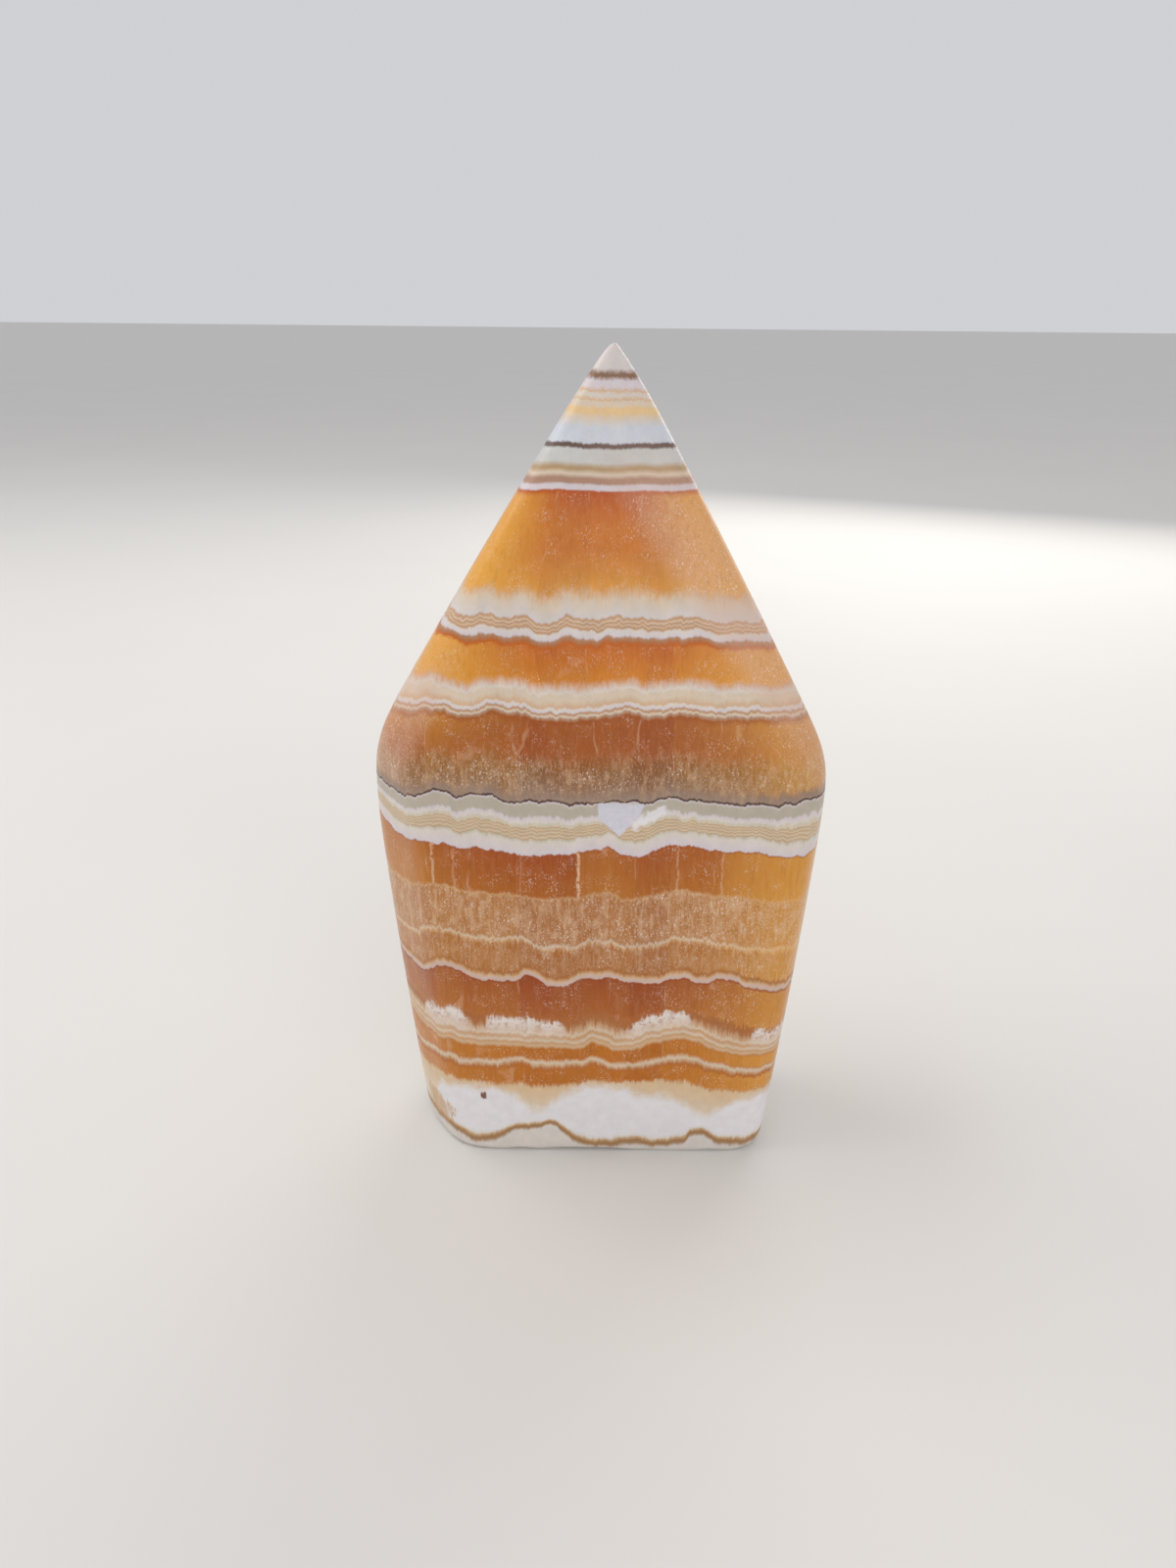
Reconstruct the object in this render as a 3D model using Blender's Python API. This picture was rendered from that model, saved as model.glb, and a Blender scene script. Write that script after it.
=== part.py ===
"""Orange calcite freeform: one banded stone, ground and polished to a point on a flat base.

The stone is shaped the way a grinder shapes it. Each ground face is a very large, slightly
domed disc that takes everything outside it away, and polishing rounds the edges where two
faces meet. Metres, +Z up. The origin is under the middle of the base, the front looks to -Y.
"""

from collections import namedtuple
import math

import bmesh
import bpy
import numpy as np

NAME = "calcite_freeform"

# Driving dimensions
HEIGHT = 0.1418
BASE_LEFT = 0.0332
BASE_RIGHT = 0.0337
BASE_FRONT = 0.0147
BASE_BACK = 0.0145
RIDGE_HEIGHT = 0.0705
RIDGE_FRONT = 0.0184
RIDGE_BACK = 0.0185
LEFT_SHOULDER_HEIGHT = 0.0783
LEFT_SHOULDER = 0.0399
RIGHT_SHOULDER_HEIGHT = 0.0762
RIGHT_SHOULDER = 0.0394
TIP_LEFT = -0.0004
TIP_RIGHT = 0.0032
TIP_FRONT = 0.0025
TIP_BACK = 0.0027

# Edge rounding left by the polishing wheel, wide at the foot and crisp at the tip
ROUNDING_FOOT = 0.0032
ROUNDING_TIP = 0.0013
BASE_EASE = 0.0009

# How the surface is sampled
COLUMNS = 64
RING_SPACING = 0.0029
TIP_RINGS = (0.0046, 0.0030, 0.0018, 0.0009, 0.0003)
SOLVE_STEPS = 40
LARGEST_RADIUS = 0.060
HIGHEST_TIP = HEIGHT * 1.2
SHARP_ANGLE = 50.0

# A ground face turns from the front, to the right where positive, so many degrees. It runs up
# from its foot to its head, each given as how far out from the origin it stands and how high,
# and it is part of a very large sphere, its dome.
GroundFace = namedtuple("GroundFace", "name turn foot head dome")

FACES = (
    GroundFace("front, lower", 0, (BASE_FRONT, 0.0), (RIDGE_FRONT, RIDGE_HEIGHT), 1.2),
    GroundFace("front, upper", 0, (RIDGE_FRONT, RIDGE_HEIGHT), (TIP_FRONT, HEIGHT), 1.2),
    GroundFace("back, lower", 180, (BASE_BACK, 0.0), (RIDGE_BACK, RIDGE_HEIGHT), 0.9),
    GroundFace("back, upper", 178, (RIDGE_BACK, RIDGE_HEIGHT), (TIP_BACK, HEIGHT), 0.9),
    GroundFace("left, lower", -90, (BASE_LEFT, 0.0), (LEFT_SHOULDER, LEFT_SHOULDER_HEIGHT), 2.0),
    GroundFace("left, shoulder", -90, (0.0393, 0.0705), (0.0375, 0.0815), 0.5),
    GroundFace("left, upper", -90, (0.0386, LEFT_SHOULDER_HEIGHT), (TIP_LEFT, HEIGHT), 1.5),
    GroundFace("right, lower", 90, (BASE_RIGHT, 0.0), (RIGHT_SHOULDER, RIGHT_SHOULDER_HEIGHT), 2.0),
    GroundFace("right, shoulder", 90, (0.0398, 0.0680), (0.0383, 0.0790), 0.5),
    GroundFace("right, upper", 90, (0.0396, RIGHT_SHOULDER_HEIGHT), (TIP_RIGHT, HEIGHT), 2.0),
    GroundFace("front left corner", -54, (0.0287, 0.0), (0.0340, 0.0676), 1.5),
    GroundFace("front left bevel", -26, (0.0276, 0.0800), (0.0010, HEIGHT), 0.6),
    GroundFace("front right corner", 65, (0.0335, 0.0), (0.0389, 0.0632), 1.5),
    GroundFace("front right bevel", 24, (0.0276, 0.0800), (0.0010, HEIGHT), 0.6),
    GroundFace("back left corner", -126, (0.0300, 0.0), (0.0356, 0.0680), 1.0),
    GroundFace("back left bevel", -124, (0.0343, 0.0800), (-0.0003, HEIGHT), 1.0),
    GroundFace("back right corner", 122, (0.0319, 0.0), (0.0373, 0.0650), 1.0),
    GroundFace("back right bevel", 127, (0.0364, 0.0800), (0.0024, HEIGHT), 1.0),
)

STONE_COLOUR = (0.72, 0.33, 0.10, 1.0)
STONE_ROUGHNESS = 0.32


def clear_scene():
    """Remove whatever the opened scene holds."""
    for old in list(bpy.data.objects):
        bpy.data.objects.remove(old, do_unlink=True)


def dome_centre(face):
    """Centre of the large sphere that a ground face is part of."""
    turn = math.radians(face.turn)
    out = np.array((math.sin(turn), -math.cos(turn), 0.0))
    up = np.array((0.0, 0.0, 1.0))
    foot = out * face.foot[0] + up * face.foot[1]
    head = out * face.head[0] + up * face.head[1]
    chord = head - foot
    length = np.linalg.norm(chord)
    normal = out * chord[2] / length - up * chord.dot(out) / length
    drop = math.sqrt(face.dome ** 2 - (length / 2.0) ** 2)
    return (foot + head) / 2.0 - normal * drop


DOME_CENTRES = np.array([dome_centre(face) for face in FACES])
DOME_RADII = np.array([face.dome for face in FACES])


def outside(points):
    """Signed gap, negative inside, of points (..., 3) to the polished stone.

    A point's gaps to the faces that it is nearer to than the rounding count together, as the
    sides of a right angle do, which turns each edge into a fillet and leaves the faces as they are.
    """
    gaps = np.linalg.norm(points[..., None, :] - DOME_CENTRES, axis=-1) - DOME_RADII
    height = np.clip(points[..., 2] / HEIGHT, 0.0, 1.0)
    rounding = ROUNDING_FOOT + (ROUNDING_TIP - ROUNDING_FOOT) * height
    near = np.maximum(gaps + rounding[..., None], 0.0)
    return np.linalg.norm(near, axis=-1) - rounding


def axis_at(heights):
    """The middle line of the stone, from the middle of the base to the tip."""
    tip = np.array(((TIP_RIGHT - TIP_LEFT) / 2.0, (TIP_BACK - TIP_FRONT) / 2.0))
    return (heights / HEIGHT)[:, None] * tip


def reach(heights, directions):
    """Distance from the middle line to the surface, along level directions (rings, n, 2)."""
    middle = axis_at(heights)[:, None, :]
    near = np.zeros(directions.shape[:2])
    far = np.full(directions.shape[:2], LARGEST_RADIUS)
    level = np.broadcast_to(heights[:, None, None], directions.shape[:2] + (1,))
    for _ in range(SOLVE_STEPS):
        guess = (near + far) / 2.0
        points = np.concatenate([middle + directions * guess[..., None], level], axis=-1)
        is_out = outside(points) > 0.0
        far = np.where(is_out, guess, far)
        near = np.where(is_out, near, guess)
    return (near + far) / 2.0


def tip_height():
    """Height at which the middle line leaves the stone."""
    low, high = RIDGE_HEIGHT, HIGHEST_TIP
    for _ in range(SOLVE_STEPS):
        guess = (low + high) / 2.0
        point = np.append(axis_at(np.array([guess]))[0], guess)
        if outside(point) > 0.0:
            high = guess
        else:
            low = guess
    return (low + high) / 2.0


def ring_points():
    """Level rings of points (rings, columns, 3) from the base's edge to just under the tip."""
    top = tip_height()
    straight = np.arange(BASE_EASE, top - TIP_RINGS[0] - RING_SPACING / 2.0, RING_SPACING)
    heights = np.concatenate([[0.0], straight, top - np.array(TIP_RINGS)])
    ways = np.array([[(1.0, 0.0), (-1.0, 0.0), (0.0, 1.0), (0.0, -1.0)]])
    sizes = reach(heights, np.repeat(ways, len(heights), axis=0))
    half_width = sizes[:, 0:2].mean(axis=1)
    half_depth = sizes[:, 2:4].mean(axis=1)
    angles = np.arange(COLUMNS) * math.tau / COLUMNS
    directions = np.stack([
        half_width[:, None] * np.cos(angles),
        half_depth[:, None] * np.sin(angles),
    ], axis=-1)
    directions /= np.linalg.norm(directions, axis=-1, keepdims=True)
    distances = reach(heights, directions)
    distances[0] -= BASE_EASE
    flat = axis_at(heights)[:, None, :] + directions * distances[..., None]
    level = np.broadcast_to(heights[:, None, None], flat.shape[:2] + (1,))
    return np.concatenate([flat, level], axis=-1)


def stone_mesh():
    """Skin the rings, close the tip with a fan and the foot with one flat face."""
    rings = ring_points()
    mesh = bmesh.new()
    verts = [[mesh.verts.new(point) for point in ring] for ring in rings]
    for lower, upper in zip(verts, verts[1:]):
        for i in range(COLUMNS):
            j = (i + 1) % COLUMNS
            mesh.faces.new((lower[i], lower[j], upper[j], upper[i]))
    top = tip_height()
    tip = mesh.verts.new((*axis_at(np.array([top]))[0], top))
    for i in range(COLUMNS):
        mesh.faces.new((verts[-1][i], verts[-1][(i + 1) % COLUMNS], tip))
    mesh.faces.new(list(reversed(verts[0])))
    bmesh.ops.recalc_face_normals(mesh, faces=mesh.faces)
    centre_on_origin(mesh)
    data = bpy.data.meshes.new(NAME)
    mesh.to_mesh(data)
    mesh.free()
    data.shade_smooth()
    data.set_sharp_from_angle(angle=math.radians(SHARP_ANGLE))
    return data


def centre_on_origin(mesh):
    """Put the middle of the stone's box over the origin, its foot on the ground."""
    spots = np.array([vert.co for vert in mesh.verts])
    middle = (spots.min(axis=0) + spots.max(axis=0)) / 2.0
    for vert in mesh.verts:
        vert.co.x -= middle[0]
        vert.co.y -= middle[1]


def stone_material():
    """Polished orange calcite."""
    material = bpy.data.materials.new("polished_orange_calcite")
    material.use_nodes = True
    shader = material.node_tree.nodes["Principled BSDF"]
    shader.inputs["Base Color"].default_value = STONE_COLOUR
    shader.inputs["Roughness"].default_value = STONE_ROUGHNESS
    shader.inputs["Metallic"].default_value = 0.0
    material.diffuse_color = STONE_COLOUR
    return material


def main():
    clear_scene()
    stone = bpy.data.objects.new(NAME, stone_mesh())
    stone.data.materials.append(stone_material())
    bpy.context.scene.collection.objects.link(stone)


main()
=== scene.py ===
import math

import bmesh
import bpy
from mathutils import Matrix, Vector


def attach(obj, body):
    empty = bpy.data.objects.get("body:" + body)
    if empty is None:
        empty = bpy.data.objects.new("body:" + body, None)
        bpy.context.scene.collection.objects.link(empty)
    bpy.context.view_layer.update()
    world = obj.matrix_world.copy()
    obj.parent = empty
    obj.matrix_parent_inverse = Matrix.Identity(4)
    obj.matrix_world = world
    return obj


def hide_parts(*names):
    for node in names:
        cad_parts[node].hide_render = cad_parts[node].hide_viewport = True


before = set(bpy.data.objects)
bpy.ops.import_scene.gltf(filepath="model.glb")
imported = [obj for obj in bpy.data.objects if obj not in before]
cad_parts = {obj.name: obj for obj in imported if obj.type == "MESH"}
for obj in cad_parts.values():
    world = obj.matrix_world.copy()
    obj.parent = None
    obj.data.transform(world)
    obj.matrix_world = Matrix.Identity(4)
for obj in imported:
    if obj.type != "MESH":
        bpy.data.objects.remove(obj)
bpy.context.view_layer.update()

bl_info = {
    "name": "Banded Calcite Freeform",
    "version": (1, 0, 0),
    "blender": (4, 5, 0),
    "location": "View3D > Sidebar > Calcite",
    "description": "Makes a polished, banded orange calcite freeform on a plain studio floor",
    "category": "Add Mesh",
}

STONE_NODE = "calcite_freeform"
MM = 0.001
PER_MM = 1000.0

# The photograph's frame and the camera worked out for it. The camera stands this far from the
# middle of the stone's foot, in metres, and looks down and turns by these angles.
IMAGE_WIDTH = 1200
IMAGE_HEIGHT = 1600
FOCAL_PIXELS = 1150.0
SENSOR_MM = 36.0
CAMERA_SPOT = (-0.00161, -0.18328, 0.14719)
CAMERA_PITCH = 23.07
CAMERA_ROLL = -0.56

# Colours of the stone, as they look in soft daylight
SHADES = {
    "tip white": "d8d0cc",
    "brown line": "8d6a52",
    "lavender white": "d9cfd2",
    "cream": "dccab4",
    "peach cream": "d6b28e",
    "pale yellow": "e6c592",
    "bluish white": "d0d4dc",
    "smoke line": "6a544c",
    "grey white": "cdccc8",
    "ochre": "b89a72",
    "pink tan": "b28a74",
    "warm white": "dfd5cb",
    "rose white": "d4b8aa",
    "tan": "b5825c",
    "line tan": "c1936c",
    "amber": "ce7620",
    "tan orange": "b8703c",
    "peach": "cb9c6c",
    "orange brown": "a24e08",
    "brown": "8c5622",
    "grey brown": "866044",
    "taupe": "a08878",
    "seam": "4a2a20",
    "olive grey": "bcb2a2",
    "olive cream": "d0c8b6",
    "olive yellow": "dacab0",
    "olive line": "c3a27c",
    "rust": "a44804",
    "rust light": "b0600c",
    "frosted tan": "b27440",
    "frosted orange": "ae6a2e",
    "brick": "9c420c",
    "brick light": "ac5a1c",
    "low orange": "be6c0a",
    "fringe": "ddbf98",
    "foot cream": "e2d8c8",
    "foot brown": "a87e52",
    "foot white": "ddd6ce",
}
PALE_CRACK = "e2b794"
PALE_THREAD = "dcb792"
DARK_THREAD = "88380a"
# Painted glints of tiny crystal faces
SPARKLE = "f4e6d8"
# Gold of some columns, and also the painted glow of light through the thin edges
GOLDEN_EDGE = "eaab44"
FROST = "e9e0d8"
# Painted sheen on the frosty ground faces outside the creases
HAZE_SHEEN = "d9b09a"
CHIP_SHADE = "dbd8e0"
LUMP_SHADE = "ebe8ea"
SPECK_SHADE = "7a5038"
STAIN_SHADE = "c69a60"

# The bands from the tip down: height of the upper edge in mm, measured up the middle of the
# front, the shade just under it, the shade at the foot of the band, and how soft the upper edge is.
BANDS = (
    (143.0, "tip white", "tip white", 0.4),
    (137.9, "brown line", "brown line", 0.7),
    (136.9, "lavender white", "lavender white", 0.6),
    (135.4, "peach cream", "cream", 0.6),
    (134.7, "tip white", "cream", 0.5),
    (134.0, "peach cream", "cream", 0.5),
    (133.3, "cream", "pale yellow", 0.8),
    (132.4, "pale yellow", "cream", 0.8),
    (130.6, "bluish white", "bluish white", 1.4),
    (127.7, "smoke line", "smoke line", 0.35),
    (126.95, "grey white", "grey white", 0.35),
    (124.6, "ochre", "ochre", 0.8),
    (123.6, "cream", "cream", 0.6),
    (122.9, "pink tan", "pink tan", 0.6),
    (121.8, "lavender white", "lavender white", 0.4),
    (120.9, "deep orange", "amber", 0.30),
    (114.0, "amber", "golden orange", 3.0),
    (106.0, "cream", "tip white", 2.4),
    (102.35, "line tan", "line tan", 0.4),
    (102.0, "peach cream", "cream", 0.3),
    (101.6, "line tan", "line tan", 0.3),
    (101.25, "cream", "peach cream", 0.3),
    (100.95, "line tan", "line tan", 0.3),
    (100.6, "warm white", "lavender white", 0.4),
    (99.4, "tan", "tan", 0.4),
    (98.9, "tan orange", "tan orange", 0.4),
    (98.5, "bright orange", "bright orange low", 0.4),
    (92.1, "warm white", "cream", 1.9),
    (90.4, "cream", "peach cream", 0.9),
    (88.8, "warm white", "lavender white", 0.3),
    (88.1, "line tan", "line tan", 0.25),
    (87.7, "cream", "cream", 0.25),
    (87.3, "pink tan", "tan", 0.3),
    (86.8, "orange brown", "orange brown", 0.3),
    (82.0, "orange brown", "brown", 1.5),
    (77.4, "grey brown", "taupe", 2.4),
    (73.66, "seam", "seam", 0.20),
    (73.28, "lavender white", "olive grey", 0.20),
    (72.7, "olive grey", "olive grey", 0.35),
    (71.1, "lavender white", "warm white", 0.35),
    (70.2, "olive cream", "olive yellow", 0.3),
    (69.6, "olive line", "olive yellow", 0.14),
    (69.1, "olive line", "olive yellow", 0.14),
    (68.6, "olive line", "olive yellow", 0.14),
    (68.0, "olive line", "olive cream", 0.14),
    (67.3, "warm white", "lavender white", 0.45),
    (65.0, "rust", "rust light", 0.25),
    (56.8, "peach", "frosted tan", 0.6),
    (56.0, "frosted tan", "frosted tan", 0.4),
    (47.7, "cream", "peach", 0.6),
    (46.6, "frosted orange", "frosted orange", 0.6),
    (44.2, "frosted tan", "frosted orange", 0.6),
    (41.1, "peach", "peach cream", 0.6),
    (40.4, "rose white", "rose white", 0.4),
    (39.6, "brick", "brick light", 0.30),
    (31.8, "frosted tan", "peach cream", 2.2),
    (28.9, "cream", "peach cream", 0.5),
    (28.2, "peach", "peach cream", 0.35),
    (27.4, "cream", "peach cream", 0.35),
    (26.7, "peach", "peach cream", 0.35),
    (26.1, "peach cream", "peach", 0.3),
    (25.4, "low orange", "low orange", 0.35),
    (22.3, "peach cream", "cream", 0.6),
    (21.3, "peach", "tan orange", 0.7),
    (20.2, "low orange", "low orange", 0.5),
    (16.6, "fringe", "foot cream", 0.9),
    (4.9, "foot white", "fringe", 0.8),
    (4.1, "foot brown", "foot brown", 0.9),
    (2.6, "foot white", "foot white", 0.9),
)
LOWEST_HEIGHT = -8.0
RAMP_STOPS = 30

# The clear orange bands, which show columns, threads and sparkles: foot, top, softness in mm
ORANGE_BANDS = (
    (106.2, 120.4, 0.6), (92.4, 98.0, 0.4), (75.0, 86.4, 0.8), (41.6, 64.8, 0.3),
    (32.0, 39.3, 0.4), (22.5, 25.2, 0.3), (16.8, 19.9, 0.3),
)
# Parts of them that are frosted through: foot, top, softness, strength
# The highest of these, on the shoulder ridge, is partly real frost and partly painted sheen
FROSTED_BANDS = ((74.0, 80.0, 3.0, 0.8), (48.0, 56.6, 0.6, 1.0), (41.6, 47.0, 0.8, 0.55))

# Places from front to back, in mm, between which the front's markings give way to those of the
# sides, and between which the spots on the front come to their full strength
FRONT_TO_SIDE = (-8.0, 10.0)
SIDE_TO_SPOTS = (-5.0, -8.0)

# How far the growth fibres fray a band's edge, in mm, at these heights
FRAYING = (
    (140.0, 0.5), (131.0, 0.8), (127.0, 0.25), (121.5, 0.12), (112.0, 1.0), (106.0, 1.6),
    (103.0, 0.3), (99.0, 0.15), (94.0, 0.7), (92.0, 1.1), (89.0, 0.4), (86.8, 0.2), (80.0, 3.0),
    (75.0, 1.0), (73.4, 0.3), (70.8, 0.9), (68.6, 0.15), (67.4, 0.6), (65.0, 0.15), (58.0, 0.6),
    (56.5, 1.0), (47.0, 1.4), (41.0, 0.8), (39.5, 0.2), (32.0, 2.4), (28.0, 0.4), (25.5, 0.2),
    (22.0, 0.7), (17.0, 1.5), (10.0, 1.0), (3.3, 0.5), (0.0, 0.5),
)
FRAYING_MOST = 3.0

# How a band's height wanders across the front: the band's height, then how far from the middle
# and how far up or down, all in mm
ACROSS_MM = 80.0
WANDER_MM = 12.0
WAVES = (
    (3.3, ((-38, 1.2), (-30, 1.0), (-27.8, 1.2), (-25, 0.2), (-21, -0.5), (-17, 0.7), (-14.5, 2.8),
           (-10, 3.6), (-8, 5.2), (-6.2, 3.0), (-3.3, 0.0), (0.7, -1.2), (6.6, -0.9), (13.6, -1.1),
           (17, 0.0), (19.3, 2.1), (21.5, 0.9), (25, -0.8), (30, -1.0), (36, 1.0))),
    (15.5, ((-36, -3.0), (-30, -0.6), (-26, 0.5), (-21, 0.2), (-15, -0.2), (-10, -0.6), (-6, -0.4),
            (0, 0.6), (6, 0.8), (12, 0.8), (17, 0.2), (22, -1.0), (28, -1.8), (36, -0.8))),
    (21.0, ((-36, -2.0), (-33, -1.8), (-27.5, 0.0), (-22, -0.1), (-16.5, 0.0), (-14, 0.8), (-8.5, -0.5),
            (-2.9, 0.2), (0.5, 0.5), (4.9, -0.8), (10, 0.0), (15.6, 1.0), (21.3, -0.3), (26.4, -1.8),
            (33.3, -2.3), (37, -2.0))),
    (26.5, ((-36, 0.0), (-29.7, -0.1), (-25.4, 0.0), (-19.7, -0.5), (-14, -0.7), (-7.5, -1.0), (-4, -1.0),
            (0.4, 0.4), (4.8, -1.3), (10.3, 0.5), (15.9, 1.2), (20.4, -0.5), (26, -2.4), (33.5, -3.4))),
    (40.5, ((-36, -1.4), (-31, -1.2), (-25.6, 2.0), (-20.2, 0.0), (-13.8, -0.3), (-11.6, 0.8),
            (-6.9, -1.4), (-3, 0.1), (1.2, 0.4), (5.7, -0.4), (9.9, -0.4), (14.8, 0.7), (19, -0.3),
            (21.7, 0.5), (26.2, -1.2), (30.6, -2.1), (36, -2.9))),
    (47.0, ((-37, -2.5), (-32.4, -1.7), (-26, 2.0), (-20, 0.5), (-13.7, 0.6), (-7.4, -1.2), (1.2, 0.1),
            (6.5, -0.6), (15.4, 1.1), (20.3, 0.0), (30, -1.4), (36, -1.2))),
    (65.0, ((-38, 1.0), (-33, -0.2), (-28, 0.9), (-22, 0.4), (-15, -0.5), (-10, -0.9), (-4, -0.4),
            (1, 0.4), (6, -0.9), (11, 0.7), (16, 0.6), (21, -0.3), (27, -0.5), (33, -1.3), (38, -0.4))),
    (73.5, ((-38, -0.8), (-36, -0.6), (-31, -0.2), (-24.8, 1.6), (-22.9, 0.7), (-18.3, 0.9),
            (-13.7, -0.3), (-9.3, 0.3), (-4.3, -0.2), (3.3, 0.0), (7.9, 0.0), (10.9, 0.7), (15.9, 0.0),
            (21, -0.2), (26, -0.6), (31, -0.2), (37, 0.4))),
    (88.0, ((-36, -0.6), (-31, -0.4), (-26, 0.8), (-22, -0.3), (-17, 0.6), (-12, 0.1), (-7, -0.5),
            (-1, -0.2), (4, 0.5), (9, 0.1), (14, 0.7), (19, -0.2), (24, 0.1), (30, -0.5), (36, 0.2))),
    (101.0, ((-30, 0.6), (-24, 0.5), (-20.4, -0.2), (-17.5, 0.5), (-14.8, -0.2), (-12, 0.4), (-8.7, -0.8),
             (-5, 0.1), (-1, -0.3), (4, 0.2), (9, -0.4), (14, 0.2), (19, -0.6), (26, -1.2))),
    (121.0, ((-16, 0.3), (-12.9, -0.2), (-8, 0.2), (-2, 0.1), (1, 0.0), (7, 0.1), (13, 0.1), (18, -0.1))),
)

# How much of that wander the sides and the front have, and how strong, in mm, slow swells and
# quick ripples are on them. The bands grow calm towards the tip between two heights.
WANDER_SHARES = (0.25, 1.0)
SWELLS = (7.0, 0.4)
RIPPLES = (2.8, 2.0)
JAGS = 0.75
CALM_HEIGHTS = (102.0, 123.0)
CALM_SHARE = 0.25

# The upright columns: how many to the mm, how far they lean, how golden and how dark they get
COLUMNS_PER_MM = 0.12
COLUMN_LEAN = 0.9
COLUMN_GOLD = 0.12
COLUMN_DARK = 0.10
FINE_CRACKS = 0.32

# How golden the columns under the ridge are across the front: place, share
COLUMN_FOOT = 56.8
COLUMN_TOP = 65.0
RIDGE_GOLD = 0.40
COLUMN_TONES = (
    (-38, 0.55), (-27.7, 0.45), (-27.2, 0.25), (-15.0, 0.08), (-3.4, 0.05), (-2.9, 0.50), (5.0, 0.42),
    (7.0, 0.25), (13.0, 0.20), (13.6, 0.28), (20.4, 0.25), (21.0, 0.62), (30.0, 0.80), (38.0, 0.65),
)
# Healed cracks between those columns: place, half width in mm, strength
CRACKS = ((-27.2, 0.16, 0.7), (-3.1, 0.17, 1.0), (-12.6, 0.10, 0.25), (13.3, 0.14, 0.4), (20.7, 0.14, 0.4))

# How strong the pale fibres are: what frosting adds, and what clear orange has
BROAD_FIBRES = (0.34, 0.10)
FINE_FIBRES = (0.30, 0.07)
DARK_FIBRES = 0.15
WISPS = 0.50

# The painted glints (sparkles): how many to the mm, their grain, and how strong frosting, clear
# orange and the painted sheen on the frosty ground faces make them
SPARKLES_PER_MM = 1.5
GRAINS_PER_MM = 4.2
SPARKLE_FROSTED = 0.50
SPARKLE_CLEAR = 0.60
SPARKLE_HAZE = 0.40

# White frost along the foot of the brick band: place, strength
FROST_PATCHES = (
    (-36, 0.1), (-31.5, 0.15), (-29.5, 0.95), (-24.5, 0.95), (-22.0, 0.35), (-20.0, 0.30), (-18.5, 0.9),
    (-12, 0.85), (-7, 0.8), (-4.5, 0.2), (2.0, 0.05), (5.0, 0.35), (8, 0.8), (13.5, 1.0), (17, 0.5),
    (19, 0.1), (25, 0.05), (27.5, 0.2), (29.5, 0.9), (36, 0.8),
)
FROST_TOP = 32.2
FROST_FOOT = 28.4
FROST_ON_SIDES = 0.45

# Upper edge of the white lumps at the foot: place, height in mm
LUMP_TOPS = (
    (-38, 3.0), (-31.5, 3.5), (-29.0, 12.5), (-25, 15.4), (-19, 15.2), (-15, 14.2), (-12.5, 11.5),
    (-10, 10.2), (-7.5, 12.2), (-4, 14.6), (1, 15.8), (5, 15.4), (8, 14.0), (13, 13.6), (17, 12.0),
    (19.5, 9.5), (23, 10.5), (28, 13.0), (38, 12.0),
)
LUMP_RANGE = 24.0
LUMP_FOOT = 4.5
LUMP_TOP_ON_SIDES = 12.5

# Spots on the front: place across and up, half width and half height, in mm
BROWN_SPECK = (-20.2, 13.4, 0.6, 0.9)
LEFT_STAIN = (-29.8, 7.0, 3.4, 3.0)
STAIN_STRENGTH = 0.75

# A pale cleavage chip on the front: its corners, across and up, in mm
CHIP_CORNERS = ((-0.2, 73.3), (7.6, 73.3), (7.3, 71.4), (5.9, 69.6), (3.6, 67.2), (0.1, 70.4))
CHIP_ROUNDING = 0.4
VEIN_START = (5.6, 69.2)
VEIN_END = (11.0, 72.2)
VEIN_HEIGHTS = (68.0, 73.0)
VEIN_STRENGTH = 0.8

# Creases on the front outside which the ground faces stay frosty and carry a painted sheen: two points
# across and up in mm
LEFT_CREASE = ((-29.2, 80.8), (-22.3, 94.6))
RIGHT_CREASE = ((32.2, 80.0), (18.6, 98.4))

# Heights in mm between which that frosty ground and its painted sheen fade out above on the left and right,
# and set in below
LEFT_HAZE_END = (102.0, 84.0)
RIGHT_HAZE_END = (134.0, 112.0)
HAZE_START = (73.5, 75.5)

# The stone's half width in mm at its foot, its shoulders and its tip
HALF_WIDTHS = ((0.0, 33.4), (77.0, 39.2), (142.0, 1.5))

# The slow waves of the polish: how many to the mm, and the heights in mm between which they
# start above the flat base
POLISH_WAVES = 0.055
WAVES_START = (0.3, 2.0)

# A small flake broken off the foot's right edge: a point on the break in mm, the way the break
# faces, and how far in metres it reaches
FLAKE_POINT = (33.0, 2.0, 0.7)
FLAKE_FACING = (0.70, 0.10, -0.70)
FLAKE_REACH = 0.006

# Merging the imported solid's loose triangles back into quads, in metres and radians
MERGE_GAP = 0.00001
QUAD_TURN = math.radians(40.0)

# Roughness of the pale bands and of clear orange, what the frosty ground faces and the chip add to
# it, how much it wanders, and the finest grain of the surface, in metres
ROUGH_PALE = 0.40
ROUGH_ORANGE = 0.30
ROUGH_HAZE = 0.12
ROUGH_CHIP = 0.20
ROUGH_WANDER = 0.14
GRAIN_STRENGTH = 0.14
GRAIN_DEPTH = 0.0002

# The rest of the stone's finish: a faint light through it and a thin gloss
FINISH = {
    "IOR": 1.50,
    "Specular IOR Level": 0.34,
    "Subsurface Weight": 0.25,
    "Subsurface Radius": (1.0, 0.55, 0.30),
    "Subsurface Scale": 0.0022,
    "Coat Weight": 0.07,
    "Coat Roughness": 0.14,
}

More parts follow.
